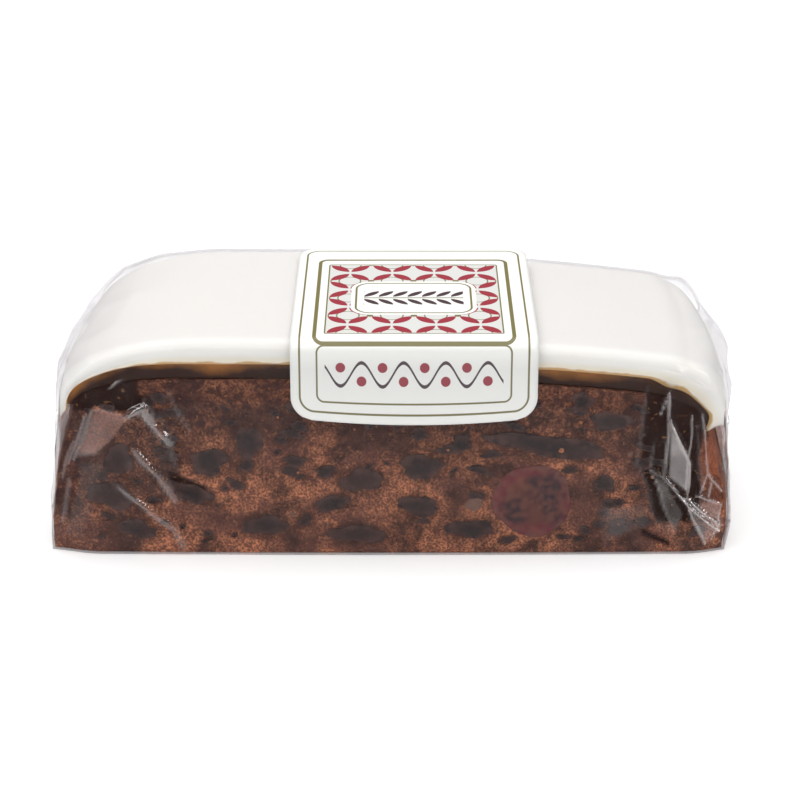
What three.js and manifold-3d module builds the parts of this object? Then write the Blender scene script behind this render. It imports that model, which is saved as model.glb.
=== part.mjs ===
// A bar of iced fruit cake in clear film, with a paper label folded over its top front edge.
// Millimetres, +Z up. X runs along the bar, the front cut face looks to -Y, and the film rests on Z = 0.
// Every layer is a box whose grid is bent to the bar's arched outline, all with the same grid lines.
import * as THREE from "three";
import { mergeVertices } from "three/addons/utils/BufferGeometryUtils.js";
import Module from "manifold-3d";

// Driving dimensions
const crumbHeight = 43.5;
const marzipanThickness = 3.2;
const icingThickness = 5;
const barDepth = 60.5;
const clearance = 0.36; // between pieces that touch
const filmWall = 0.4;
const paper = 0.35;

// How the hand-cut bar departs from a plain block
const frontBow = 0.8; // the front cut face swells this much in the middle
const rearLean = 1; // the rear cut is this much deeper at the left end and shallower at the right
const rearShift = 1.5; // the rear is this much further right than the front
const leftFlare = 7.3; // how far each end leans out from its shoulder to the base
const rightFlare = 7;
const halfBar = 80; // half the length at the base, used to spread the lean and the bow
const endSwell = 0.03; // the ends draw in towards both cut faces by up to about this share of their reach
const fullestRow = 0.45; // share of the depth at which the ends reach furthest
const sagStart = -24.5; // the top sinks from here towards the right end
const sagSpan = 93;
const sagFront = 4.9; // by this much in the end, along the front and along the rear
const sagRear = 5.9;
const sagPowerFront = 3; // how late the sinking sets in
const sagPowerRear = 2;

// Grid of every bent box
const columns = 24;
const rowsDeep = 8;
const flatShare = 0.5; // share of the columns on the flat top, the rest are on the shoulders
const flatRows = 0.5; // share of the rows on the flat, the rest round the long top edges
const hangUnit = 100; // an arch runs down the end wall by this many millimetres for each 1 past its foot
const hangSlope = 0.07; // and leans out by this share of the way

const base = filmWall + clearance;

// Arched outlines across the bar: reach to the foot of each shoulder, height, and the shoulders' run and drop
const crumbArch = {
  left: 74.7,
  right: 73.4,
  top: base + crumbHeight,
  leftRun: 24,
  rightRun: 14,
  leftDrop: 6.6,
  rightDrop: 7.6,
};
const marzipanFoot = 0.8; // the marzipan thins out to this down the shoulders
const marzipanArch = {
  ...grown(crumbArch, clearance + marzipanFoot),
  top: crumbArch.top + clearance + marzipanThickness,
  leftDrop: crumbArch.leftDrop + marzipanThickness,
  rightDrop: crumbArch.rightDrop + marzipanThickness,
};
const icingInner = grown(marzipanArch, clearance);
const icingArch = {
  left: 78.1,
  right: 77.7,
  top: icingInner.top + icingThickness,
  leftRun: 33,
  rightRun: 14,
  leftDrop: 15.7,
  rightDrop: 13.7,
};
const filmInner = grown(icingArch, clearance);
const filmOuter = grown(filmInner, filmWall);

// The same outline moved outwards by a distance.
function grown(arch, by) {
  return {
    ...arch,
    left: arch.left + by,
    right: arch.right + by,
    top: arch.top + by,
    leftRun: arch.leftRun + by,
    rightRun: arch.rightRun + by,
  };
}

// A point [x, z] of an arch. q runs from -1 at the foot of the left shoulder, over the top, to 1 at the foot
// of the right one: flat, then a quarter ellipse. Past 1 it goes on down the end wall.
function archPoint(arch, q) {
  const side = q < 0 ? "left" : "right";
  const run = arch[side + "Run"];
  const drop = arch[side + "Drop"];
  const flat = arch[side] - run;
  const t = Math.abs(q);
  const along = Math.min(1, t / flatShare);
  const turn = (Math.PI / 2) * THREE.MathUtils.clamp((t - flatShare) / (1 - flatShare), 0, 1);
  const below = Math.max(0, t - 1) * hangUnit;
  const x = flat * along + run * Math.sin(turn) + below * hangSlope;
  return [Math.sign(q) * x, arch.top - drop * (1 - Math.cos(turn)) - below];
}

// The rows across the depth: share of the half depth, and how far the rounded long edge drops there.
function rowAt(b, half, round) {
  const t = Math.abs(b);
  if (t <= flatRows) return [(Math.sign(b) * (half - round) * t) / flatRows, 0];
  const turn = ((Math.PI / 2) * (t - flatRows)) / (1 - flatRows);
  return [Math.sign(b) * (half - round + round * Math.sin(turn)), round * (1 - Math.cos(turn))];
}

// How far the top has sunk at x, at a share of the depth from the front.
function sag(x, rear) {
  const along = THREE.MathUtils.clamp((x - sagStart) / sagSpan, 0, 1);
  const power = THREE.MathUtils.lerp(sagPowerFront, sagPowerRear, rear);
  return THREE.MathUtils.lerp(sagFront, sagRear, rear) * along ** power;
}

// Moves a plain point of the bar to where the hand-cut bar has it.
function handCut(x, y, z) {
  const span = THREE.MathUtils.clamp(x / halfBar, -1, 1);
  const rear = THREE.MathUtils.clamp(y / barDepth + 0.5, 0, 1);
  const bow = -frontBow * (1 - span * span) * (1 - rear);
  const swell = 1 - endSwell * (2 * (rear - fullestRow)) ** 2;
  return new THREE.Vector3(
    x * swell + rearShift * rear,
    y + bow - rearLean * span * rear,
    z - sag(x, rear) * THREE.MathUtils.clamp(z / crumbArch.top, 0, 1),
  );
}

// A box with the given segments, each of its points moved by place(a, b, c), with a and b from -1 to 1 and c
// from 0 to 1.
function bentBox(across, deep, high, place) {
  const box = new THREE.BoxGeometry(2, 2, 1, across, deep, high).translate(0, 0, 0.5);
  box.deleteAttribute("normal");
  box.deleteAttribute("uv");
  const bent = mergeVertices(box, 1e-4);
  const points = bent.getAttribute("position");
  for (let i = 0; i < points.count; i++) {
    const moved = place(points.getX(i), points.getY(i), points.getZ(i));
    points.setXYZ(i, moved.x, moved.y, moved.z);
  }
  return bent;
}

// A block under an arch, down to a flat base. relief(x, z, b) is how far a cut face stands out, in Y.
function block(arch, { floor, leftBase, rightBase, grow, round, high, relief }) {
  return bentBox(columns, rowsDeep, high, (a, b, c) => {
    const [topX, topZ] = archPoint(arch, a);
    const [y, edgeDrop] = rowAt(b, barDepth / 2 + grow, round);
    const baseX = topX * (a < 0 ? leftBase / arch.left : rightBase / arch.right);
    const x = THREE.MathUtils.lerp(baseX, topX, c);
    const z = THREE.MathUtils.lerp(floor, topZ - edgeDrop, c);
    const point = handCut(x, y, z);
    if (Math.abs(b) === 1) point.y += b * relief(x, z, b);
    return point;
  });
}

// A layer between two arches. hang(b, side) is how far it runs down past the foot of a shoulder.
function layer(lower, upper, { grow, round, high, hang }) {
  return bentBox(columns, rowsDeep, high, (a, b, c) => {
    const q = a * (1 + (Math.abs(a) > flatShare ? hang(b, a < 0 ? "left" : "right") : 0) / hangUnit);
    const [lowX, lowZ] = archPoint(lower, q);
    const [highX, highZ] = archPoint(upper, q);
    const [y, edgeDrop] = rowAt(b, barDepth / 2 + grow, round);
    return handCut(
      THREE.MathUtils.lerp(lowX, highX, c),
      y,
      THREE.MathUtils.lerp(lowZ, highZ - edgeDrop, c),
    );
  });
}

// A smooth unevenness from -1 to 1, from three crossed waves.
const wavesX = [0.61, -0.37, 0.93];
const wavesZ = [0.42, 0.88, -0.65];
function uneven(x, z, pitch) {
  const waves = wavesX.map((w, i) => Math.sin((2 * Math.PI * (w * x + wavesZ[i] * z)) / pitch + 2.1 * i));
  return waves.reduce((sum, wave) => sum + wave, 0) / waves.length;
}

const wasm = await Module();
wasm.setup();

function solid(geometry) {
  return new wasm.Manifold(
    new wasm.Mesh({
      numProp: 3,
      vertProperties: new Float32Array(geometry.getAttribute("position").array),
      triVerts: new Uint32Array(geometry.getIndex().array),
    }),
  );
}

function mergedSolid(geometry) {
  geometry.deleteAttribute("normal");
  geometry.deleteAttribute("uv");
  return solid(mergeVertices(geometry, 1e-4));
}

function geometryOf(manifold) {
  const made = manifold.getMesh();
  const geometry = new THREE.BufferGeometry();
  geometry.setAttribute("position", new THREE.BufferAttribute(new Float32Array(made.vertProperties), 3));
  geometry.setIndex(new THREE.BufferAttribute(new Uint32Array(made.triVerts), 1));
  const faceted = geometry.toNonIndexed();
  faceted.computeVertexNormals();
  return faceted;
}

// Crumb
const crumbRelief = 0.25;
const crumbPitch = 13;
const crumbRows = 6;
const crumbShape = {
  floor: base,
  leftBase: crumbArch.left + leftFlare,
  rightBase: crumbArch.right + rightFlare,
  round: 0.6,
  high: crumbRows,
};
const crumbFace = (x, z, b) => crumbRelief * uneven(x, z + 40 * b, crumbPitch);
const crumbBlock = solid(block(crumbArch, { ...crumbShape, grow: 0, relief: crumbFace }));

// Fruit that the cut faces show: centre and half sizes on the face, and tilt in degrees.
const frontFruit = [
  { name: "cherry_front", x: 33.5, z: 14.5, wide: 9.2, high: 8.9, tilt: 0 },
  { name: "prune_front", x: 40, z: 28.4, wide: 17, high: 3, tilt: -8 },
  { name: "raisin_front_1", x: -67.2, z: 14.8, wide: 5.6, high: 3.3, tilt: -6 },
  { name: "raisin_front_2", x: -61.6, z: 6.2, wide: 5, high: 2.1, tilt: -8 },
  { name: "raisin_front_3", x: -48.2, z: 15.6, wide: 5.4, high: 2.3, tilt: -25 },
  { name: "raisin_front_4", x: -65, z: 24, wide: 3.2, high: 4.2, tilt: 0 },
  { name: "raisin_front_5", x: -43.6, z: 23.6, wide: 4.4, high: 3.3, tilt: 0 },
  { name: "raisin_front_6", x: -34, z: 28.6, wide: 3.2, high: 4, tilt: 10 },
  { name: "raisin_front_7", x: -30.6, z: 7.2, wide: 5.2, high: 2.6, tilt: 0 },
  { name: "raisin_front_8", x: -7.4, z: 19, wide: 5.2, high: 2.8, tilt: 0 },
  { name: "raisin_front_9", x: -14.6, z: 13, wide: 4.4, high: 1.9, tilt: 18 },
  { name: "raisin_front_10", x: -8.5, z: 5, wide: 6.8, high: 2.2, tilt: 0 },
  { name: "raisin_front_11", x: 6.6, z: 22.6, wide: 4.8, high: 3.2, tilt: 8 },
  { name: "raisin_front_12", x: 6, z: 12.4, wide: 5.2, high: 2.3, tilt: -8 },
  { name: "raisin_front_13", x: 18.4, z: 6.4, wide: 5.4, high: 2.4, tilt: 0 },
  { name: "raisin_front_14", x: 51, z: 36, wide: 4.6, high: 2.6, tilt: 0 },
];
const rearFruit = [
  { name: "cherry_rear", x: -24, z: 22, wide: 8.8, high: 8.4, tilt: 0 },
  { name: "raisin_rear_1", x: 61, z: 12, wide: 5.4, high: 3, tilt: 10 },
  { name: "raisin_rear_2", x: 44, z: 27, wide: 5, high: 2.6, tilt: -14 },
  { name: "raisin_rear_3", x: 22, z: 9, wide: 6, high: 2.6, tilt: 0 },
  { name: "raisin_rear_4", x: 8, z: 30, wide: 4.6, high: 2.8, tilt: 12 },
  { name: "raisin_rear_5", x: -4, z: 12, wide: 4.4, high: 3.4, tilt: 0 },
  { name: "raisin_rear_6", x: -44, z: 9, wide: 5.6, high: 2.4, tilt: -6 },
  { name: "raisin_rear_7", x: -52, z: 28, wide: 5, high: 3, tilt: 8 },
  { name: "raisin_rear_8", x: -66, z: 16, wide: 3.4, high: 4.2, tilt: 0 },
];
const fruitDepth = 2.6; // how far a piece reaches into the crumb, at most
const fruitProud = 0.2; // the cut fruit stands this much out of the crumb
const fruitSides = 12;
const fruitRings = 4;

// An ellipsoid of fruit centred on a cut face, swollen by a distance.
function fruitBody({ x, z, wide, high, tilt }, side, swell) {
  const body = new THREE.SphereGeometry(1, fruitSides, fruitRings);
  const depth = Math.min(fruitDepth, high);
  body.scale(wide + swell, depth + swell, high + swell);
  body.rotateY(THREE.MathUtils.degToRad(-tilt));
  const centre = handCut(x, (side * barDepth) / 2, z);
  body.translate(centre.x, centre.y, centre.z);
  return mergedSolid(body);
}

const proudBlock = solid(block(crumbArch, { ...crumbShape, grow: fruitProud, relief: () => 0 }));
const fruitPieces = [];
let crumb = crumbBlock;
for (const [list, side] of [
  [frontFruit, -1],
  [rearFruit, 1],
]) {
  for (const fruit of list) {
    fruitPieces.push([fruit.name, fruitBody(fruit, side, 0).intersect(proudBlock)]);
    crumb = crumb.subtract(fruitBody(fruit, side, clearance));
  }
}

// Marzipan, set back a little at the cuts
const marzipanInset = 0.7;
const marzipanShape = { grow: -marzipanInset, round: 0.4, high: 1, hang: () => 0 };
const marzipan = solid(layer(grown(crumbArch, clearance), marzipanArch, marzipanShape));

// Icing, which hangs past its shoulders in a ragged hem
const icingRound = 2.2;
const hemLeft = 0.8;
const hemRight = 2.2;
const hemRagged = 0.9;
const icing = solid(
  layer(icingInner, icingArch, {
    grow: 0,
    round: icingRound,
    high: 2,
    hang: (b, side) => (side === "left" ? hemLeft : hemRight) + hemRagged * uneven(31 * b, side.length, 9),
  }),
);

// Film: a thin skin round the whole bar, with the folds that stand out of it near the ends of the cut faces
const filmRound = 3;
const filmRows = 10;
const filmGrow = clearance + crumbRelief + 0.05;
const foldWidth = 3.4;
const filmLeftBase = 82.7;
const filmRightBase = 81.4;
// Each fold is a straight crease on a face, from one point to another, with its height there.
const frontFolds = [
  { from: [62, 39], to: [71, 18], stand: 1.8 },
  { from: [71, 18], to: [78, 6], stand: 2.4 },
  { from: [71, 18], to: [78, 21], stand: 1.4 },
  { from: [61, 42], to: [60.5, 21], stand: 0.7 },
  { from: [60.5, 21], to: [68, 3], stand: 0.9 },
  { from: [-65, 18], to: [-50, 3], stand: 1.6 },
  { from: [-62, 28], to: [-51, 13], stand: 1.5 },
  { from: [-70, 38], to: [-77, 25], stand: 1.4 },
  { from: [-70, 38], to: [-56, 36], stand: 1.2 },
];
const rearFolds = [
  { from: [66, 38], to: [76, 16], stand: 2.6 },
  { from: [56, 6], to: [74, 22], stand: 2.2 },
  { from: [-64, 36], to: [-76, 18], stand: 2.6 },
  { from: [-54, 5], to: [-74, 20], stand: 2.2 },
];

// How far the film stands out at a point of a face: the highest ridge there, each with straight sides.
function foldStand(folds, x, z) {
  const point = new THREE.Vector3(x, 0, z);
  const ridges = folds.map(({ from, to, stand }) => {
    const start = new THREE.Vector3(from[0], 0, from[1]);
    const crest = new THREE.Line3(start, new THREE.Vector3(to[0], 0, to[1]));
    const away = crest.closestPointToPoint(point, true, new THREE.Vector3()).distanceTo(point);
    return stand * (1 - away / foldWidth);
  });
  return Math.max(0, ...ridges);
}

const filmShape = { leftBase: filmLeftBase, rightBase: filmRightBase, round: filmRound, high: filmRows };
const filmSkin = solid(
  block(filmOuter, {
    ...filmShape,
    floor: 0,
    grow: filmGrow + filmWall,
    relief: (x, z, b) => foldStand(b < 0 ? frontFolds : rearFolds, x, z),
  }),
);
const filmHollow = solid(
  block(filmInner, {
    ...filmShape,
    floor: filmWall,
    leftBase: filmLeftBase - filmWall,
    rightBase: filmRightBase - filmWall,
    round: filmRound - filmWall,
    high: 4,
    grow: filmGrow,
    relief: () => 0,
  }),
);

// The long seam under the base, where the film's two edges meet, stays open by a hair.
const seamLength = 120;
const seamGap = 1;
const seamY = 6;
const seam = mergedSolid(new THREE.BoxGeometry(seamLength, seamGap, 4 * filmWall).translate(0, seamY, 0));

// The folded flaps on each end, one from the base and one from the top: each is a trapezium of doubled film.
const flapThickness = 0.6;
const flapSink = 0.3; // how far a flap reaches into the film behind it
const flapRows = 8;
const flaps = [
  { low: 2, high: 24, lowHalf: 25, highHalf: 9 },
  { low: 20, high: 36, lowHalf: 8, highHalf: 22 },
];

function endFlap({ low, high, lowHalf, highHalf }, side) {
  const reachAtFoot = side < 0 ? filmOuter.left : filmOuter.right;
  const reachAtBase = side < 0 ? filmLeftBase : filmRightBase;
  const [, foot] = archPoint(filmOuter, side);
  return solid(
    bentBox(1, flapRows, 2, (a, b, c) => {
      const y = b * THREE.MathUtils.lerp(lowHalf, highHalf, c);
      const z = THREE.MathUtils.lerp(low, high, c);
      const wall = THREE.MathUtils.lerp(reachAtBase, reachAtFoot, THREE.MathUtils.clamp(z / foot, 0, 1));
      const point = handCut(side * wall, y, z);
      point.x += side * (a === side ? flapThickness : -flapSink);
      return point;
    }),
  );
}

let film = filmSkin.subtract(filmHollow).subtract(seam);
for (const side of [-1, 1]) {
  for (const flap of flaps) film = film.add(endFlap(flap, side));
}

// Label: paper that lies on the film from near the rear edge, bends over the front edge and hangs down
const labelHalfWidth = 28;
const labelX = 4.8;
const labelCorner = 4.8;
const labelRear = 27.5; // its rear end, in Y
const labelHang = 15.2; // its straight length down the front at its sides, past the bend
const labelArc = 2.3; // its lower edge bows down by this more in the middle
const labelLift = 1.2; // the lower edge stands off the film by this
const labelColumns = 10;
const labelBend = filmRound + clearance;
const labelFlat = labelRear + barDepth / 2 + filmGrow + filmWall + frontBow + clearance - labelBend;
const labelTurn = (labelBend * Math.PI) / 2;

const labelLength = labelFlat + labelTurn + labelHang;

// Distances from the label's rear end of its rows of points: rear corners, flat, bend, hang, front corners
const labelStations = [
  ...spread(0, labelCorner, 5),
  ...spread(labelCorner, labelFlat, 2),
  ...spread(labelFlat, labelFlat + labelTurn, 6),
  ...spread(labelFlat + labelTurn, labelLength - labelCorner, 2),
  ...spread(labelLength - labelCorner, labelLength, 5),
  labelLength,
];
const labelRows = labelStations.length - 1;

// Equal steps from one value towards another, which is left out.
function spread(from, to, steps) {
  return Array.from({ length: steps }, (_, i) => THREE.MathUtils.lerp(from, to, i / steps));
}

// A point of the label's path, s millimetres from its rear end: [y, z, and the way it faces in Y and Z].
function labelPath(s) {
  const turn = THREE.MathUtils.clamp((s - labelFlat) / labelTurn, 0, 1) * (Math.PI / 2);
  const down = Math.max(0, s - labelFlat - labelTurn);
  const lift = labelLift * (down / labelHang) ** 2;
  const y = labelRear - Math.min(s, labelFlat) - labelBend * Math.sin(turn) - lift;
  const z = filmOuter.top + clearance - labelBend * (1 - Math.cos(turn)) - down;
  return [y, z, -Math.sin(turn), Math.cos(turn)];
}

// Half the label's width at a distance from either end: round corners.
function labelHalf(fromEnd) {
  const inCorner = Math.max(0, labelCorner - fromEnd);
  return labelHalfWidth - labelCorner + Math.sqrt(Math.max(0, labelCorner ** 2 - inCorner ** 2));
}

const label = solid(
  bentBox(labelColumns, labelRows, 1, (a, b, c) => {
    const plain = labelStations[Math.round(((1 - b) / 2) * labelRows)];
    const x = a * labelHalf(Math.min(plain, labelLength - plain));
    const hung = Math.max(0, plain - labelFlat - labelTurn) / labelHang;
    const [y, z, faceY, faceZ] = labelPath(plain + labelArc * (1 - (x / labelHalfWidth) ** 2) * hung);
    const out = c * paper;
    return new THREE.Vector3(labelX + x, y + faceY * out, z + faceZ * out);
  }),
);

// Materials, coloured in sRGB
function material(red, green, blue, roughness) {
  const color = new THREE.Color().setRGB(red, green, blue, THREE.SRGBColorSpace);
  return new THREE.MeshStandardMaterial({ color, roughness, metalness: 0 });
}

const crumbMaterial = material(0.42, 0.25, 0.17, 0.85);
const marzipanMaterial = material(0.52, 0.33, 0.12, 0.4);
const icingMaterial = material(0.95, 0.93, 0.91, 0.5);
const cherryMaterial = material(0.34, 0.09, 0.1, 0.35);
const raisinMaterial = material(0.13, 0.09, 0.09, 0.5);
const labelMaterial = material(0.98, 0.98, 0.96, 0.6);
const filmMaterial = material(0.95, 0.95, 0.96, 0.1);
filmMaterial.transparent = true;
filmMaterial.opacity = 0.2;

const wrappedCake = new THREE.Group();

function addPiece(name, manifold, material) {
  const piece = new THREE.Mesh(geometryOf(manifold), material);
  piece.name = name;
  wrappedCake.add(piece);
}

addPiece("crumb", crumb, crumbMaterial);
addPiece("marzipan", marzipan, marzipanMaterial);
addPiece("icing", icing, icingMaterial);
for (const [name, piece] of fruitPieces) {
  addPiece(name, piece, name.startsWith("cherry") ? cherryMaterial : raisinMaterial);
}
addPiece("film", film, filmMaterial);
addPiece("label", label, labelMaterial);

export default wrappedCake;
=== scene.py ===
# A bar of iced fruit cake in clear film with a folded paper label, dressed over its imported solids.
# Values are in millimetres, meshes in metres. X runs along the bar; the front cut face looks to -Y.
import math
import bpy
import numpy as np
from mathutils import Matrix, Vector


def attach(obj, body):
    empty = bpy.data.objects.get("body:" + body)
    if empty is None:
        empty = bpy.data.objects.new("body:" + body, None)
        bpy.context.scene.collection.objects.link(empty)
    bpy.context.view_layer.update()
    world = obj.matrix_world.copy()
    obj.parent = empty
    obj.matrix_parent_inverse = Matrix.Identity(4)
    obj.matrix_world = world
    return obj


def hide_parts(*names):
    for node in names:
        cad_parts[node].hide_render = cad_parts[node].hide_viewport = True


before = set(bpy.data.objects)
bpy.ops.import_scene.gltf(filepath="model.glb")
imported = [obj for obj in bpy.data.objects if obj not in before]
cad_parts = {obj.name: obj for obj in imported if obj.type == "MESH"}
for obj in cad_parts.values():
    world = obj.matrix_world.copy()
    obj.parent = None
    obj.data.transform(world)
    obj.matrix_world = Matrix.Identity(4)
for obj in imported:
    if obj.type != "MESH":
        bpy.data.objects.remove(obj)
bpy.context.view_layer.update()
metre = 0.001  # one millimetre in metres
print("frame loaded:", len(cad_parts), "solids")

# The bar's form, as its solids have it

bar = {
    "crumbHeight": 43.5,
    "marzipan": 3.2,
    "icing": 5.0,
    "depth": 60.5,
    "clearance": 0.36,
    "filmWall": 0.4,
    "frontBow": 0.8,  # the front face swells this much in the middle
    "rearLean": 1.0,  # the rear face is cut askew by this
    "rearShift": 1.5,  # the rear lies this much further right
    "halfBar": 80.0,
    "endSwell": 0.03,  # share of the length that the ends draw in at the cut faces
    "fullestRow": 0.45,
    "sagStart": -24.5,  # the top sinks from here to the right
    "sagSpan": 93.0,
    "sagFront": 4.9,
    "sagRear": 5.9,
    "hangSlope": 0.07,  # how far out the ends lean as they go down
    "flatShare": 0.62,  # share of the grid columns on the flat top
    "flatRows": 0.76,  # share of the grid rows on the flat
}
tuck = {  # how the two front corners draw back, and in towards the floor
    "along": (68, 84),  # from none to all over these distances from the middle
    "forward": (10, 30),
    "back": 2.6,
    "inRight": 1.6,
    "inLeft": -0.4,
}


def grown(arch, by):  # the same outline moved outwards by a distance
    bigger = dict(arch)
    for key in ("left", "right", "top", "leftRun", "rightRun"):
        bigger[key] = arch[key] + by
    return bigger


baseZ = bar["filmWall"] + bar["clearance"]
crumbArch = {
    "left": 74.7,
    "right": 73.4,
    "top": baseZ + bar["crumbHeight"],
    "leftRun": 24.0,
    "rightRun": 14.0,
    "leftDrop": 6.6,
    "rightDrop": 7.6,
}
marzipanInner = grown(crumbArch, bar["clearance"])
marzipanArch = {
    **grown(crumbArch, bar["clearance"] + 0.8),
    "top": marzipanInner["top"] + bar["marzipan"],
    "leftDrop": crumbArch["leftDrop"] + bar["marzipan"],
    "rightDrop": crumbArch["rightDrop"] + bar["marzipan"],
}
icingInner = grown(marzipanArch, bar["clearance"])
icingArch = {
    "left": 78.1,
    "right": 77.7,
    "top": icingInner["top"] + bar["icing"],
    "leftRun": 33.0,
    "rightRun": 14.0,
    "leftDrop": 15.7,
    "rightDrop": 13.7,
}
filmArch = grown(icingArch, bar["clearance"] + bar["filmWall"])


def archPoint(arch, q):
    # x = flat * t on the flat top, then flat + run * sin(turn) and z = top - drop * (1 - cos(turn)) over
    # the shoulder; past q = 1 it goes straight down the end, 100 mm for each 1
    isLeft = q < 0
    reach = np.where(isLeft, arch["left"], arch["right"])
    run = np.where(isLeft, arch["leftRun"], arch["rightRun"])
    drop = np.where(isLeft, arch["leftDrop"], arch["rightDrop"])
    t = np.abs(q)
    turn = 0.5 * np.pi * np.clip((t - bar["flatShare"]) / (1 - bar["flatShare"]), 0, 1)
    below = np.maximum(0, t - 1) * 100
    x = (reach - run) * np.minimum(1, t / bar["flatShare"]) + run * np.sin(turn) + below * bar["hangSlope"]
    return np.sign(q) * x, arch["top"] - drop * (1 - np.cos(turn)) - below


def rowAt(b, half, round):
    # straight up to the rounded long edge, then a quarter circle: y = half - round + round * sin(turn)
    t = np.abs(b)
    turn = 0.5 * np.pi * np.clip((t - bar["flatRows"]) / (1 - bar["flatRows"]), 0, 1)
    y = (half - round) * np.minimum(1, t / bar["flatRows"]) + round * np.sin(turn)
    return np.sign(b) * y, round * (1 - np.cos(turn))


def handCut(x, y, z):
    # the uneven cut: the front bows, the ends draw in at the cut faces, and the top sinks to the right
    span = np.clip(x / bar["halfBar"], -1, 1)
    rear = np.clip(y / bar["depth"] + 0.5, 0, 1)
    along = np.clip((x - bar["sagStart"]) / bar["sagSpan"], 0, 1)
    sag = (bar["sagFront"] * (1 - rear) + bar["sagRear"] * rear) * along ** (3 - rear)
    swell = 1 - bar["endSwell"] * (2 * (rear - bar["fullestRow"])) ** 2
    outX = x * swell + bar["rearShift"] * rear
    outY = y - bar["frontBow"] * (1 - span**2) * (1 - rear) - bar["rearLean"] * span * rear
    outZ = z - sag * np.clip(z / crumbArch["top"], 0, 1)
    return np.stack([outX, outY, outZ], -1)


def ramp(value, low, high):  # 0 below low, 1 above high, eased between by 3 t^2 - 2 t^3
    t = np.clip((value - low) / (high - low), 0, 1)
    return t * t * (3 - 2 * t)


def tuckCorners(points):
    # each move is its full length * the share along the bar * the share forward, less with height
    x, y, z = points.T
    share = ramp(np.abs(x), *tuck["along"]) * ramp(-y, *tuck["forward"])
    points[:, 1] += tuck["back"] * share * (1 - 0.85 * ramp(z, 2, 24))
    points[:, 0] -= np.where(x > 0, tuck["inRight"], tuck["inLeft"]) * share * (1 - ramp(z, 0, 8))
    return points


# Grids, noise and meshes


def latticeSheet(corner, first, second, firstCells, secondCells):
    # the points corner + i * first + j * second, and the quads between them, which face first x second
    i, j = np.meshgrid(np.arange(firstCells + 1), np.arange(secondCells + 1), indexing="ij")
    points = np.array(corner) + i[..., None] * np.array(first) + j[..., None] * np.array(second)
    ids = np.arange(points[..., 0].size).reshape(i.shape)
    quads = np.stack([ids[:-1, :-1], ids[1:, :-1], ids[1:, 1:], ids[:-1, 1:]], -1)
    return points.reshape(-1, 3), quads.reshape(-1, 4)


def lattice(across, deep, high):
    # the skin of a block of cells: a and b from -1 to 1 and c from 0 to 1 at each point, with its quads
    x, y, z = (1, 0, 0), (0, 1, 0), (0, 0, 1)
    sheets = [
        latticeSheet((0, 0, 0), x, z, across, high),
        latticeSheet((0, deep, 0), z, x, high, across),
        latticeSheet((0, 0, 0), z, y, high, deep),
        latticeSheet((across, 0, 0), y, z, deep, high),
        latticeSheet((0, 0, 0), y, x, deep, across),
        latticeSheet((0, 0, high), x, y, across, deep),
    ]
    starts = np.cumsum([0] + [len(points) for points, _ in sheets[:-1]])
    quads = np.concatenate([sheet[1] + start for sheet, start in zip(sheets, starts)])
    stacked = np.concatenate([points for points, _ in sheets])
    unique, inverse = np.unique(stacked, axis=0, return_inverse=True)
    a, b, c = unique.T / np.array([[across / 2], [deep / 2], [high]]) - np.array([[1], [1], [0]])
    return a, b, c, inverse.reshape(-1)[quads]


def cellRandom(ix, iy, iz, seed):  # a fixed random number from 0 to 1 for each whole-number place
    mixed = ix * 374761393 + iy * 668265263 + iz * 1440662683 + seed * 1274126177
    mixed = (mixed ^ (mixed >> 13)) * 1103515245
    return ((mixed ^ (mixed >> 16)) & 0xFFFFFF) / 0xFFFFFF


def softNoise(points, size, seed):
    # random numbers at the corners of cubes, blended by 3 t^2 - 2 t^3, from -1 to 1
    scaled = points / size
    cell = np.floor(scaled).astype(np.int64)
    t = scaled - cell
    t = t * t * (3 - 2 * t)
    total = np.zeros(len(points))
    for corner in np.ndindex(2, 2, 2):
        near = np.array(corner)
        weight = np.prod(np.where(near == 1, t, 1 - t), axis=-1)
        place = cell + near
        total += weight * cellRandom(place[:, 0], place[:, 1], place[:, 2], seed)
    return 2 * total - 1


def layeredNoise(points, size, layers, seed):
    # a sum of noises, each with half the size and half the height of the last
    return sum(softNoise(points, size / 2**k, seed + k) / 2**k for k in range(layers))


def creased(u, v, size, seed):
    # squared distance to the nearest of the points that are scattered one to a cell: bowls that meet in
    # straight ridges
    cellU = np.floor(u / size).astype(np.int64)
    cellV = np.floor(v / size).astype(np.int64)
    nearest = np.full(len(u), 9.0)
    for stepU, stepV in np.ndindex(3, 3):
        placeU = cellU + stepU - 1
        placeV = cellV + stepV - 1
        away = (u / size - placeU - cellRandom(placeU, placeV, 0 * placeU, seed)) ** 2
        away += (v / size - placeV - cellRandom(placeU, placeV, 0 * placeU + 1, seed)) ** 2
        nearest = np.minimum(nearest, away)
    return nearest


def pointNormals(points, quads):  # the crossed diagonals of the quads round each point, added up
    across = np.cross(points[quads[:, 2]] - points[quads[:, 0]], points[quads[:, 3]] - points[quads[:, 1]])
    total = np.zeros_like(points)
    for corner in range(4):
        np.add.at(total, quads[:, corner], across)
    return total / np.maximum(np.linalg.norm(total, axis=1, keepdims=True), 1e-12)


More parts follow.
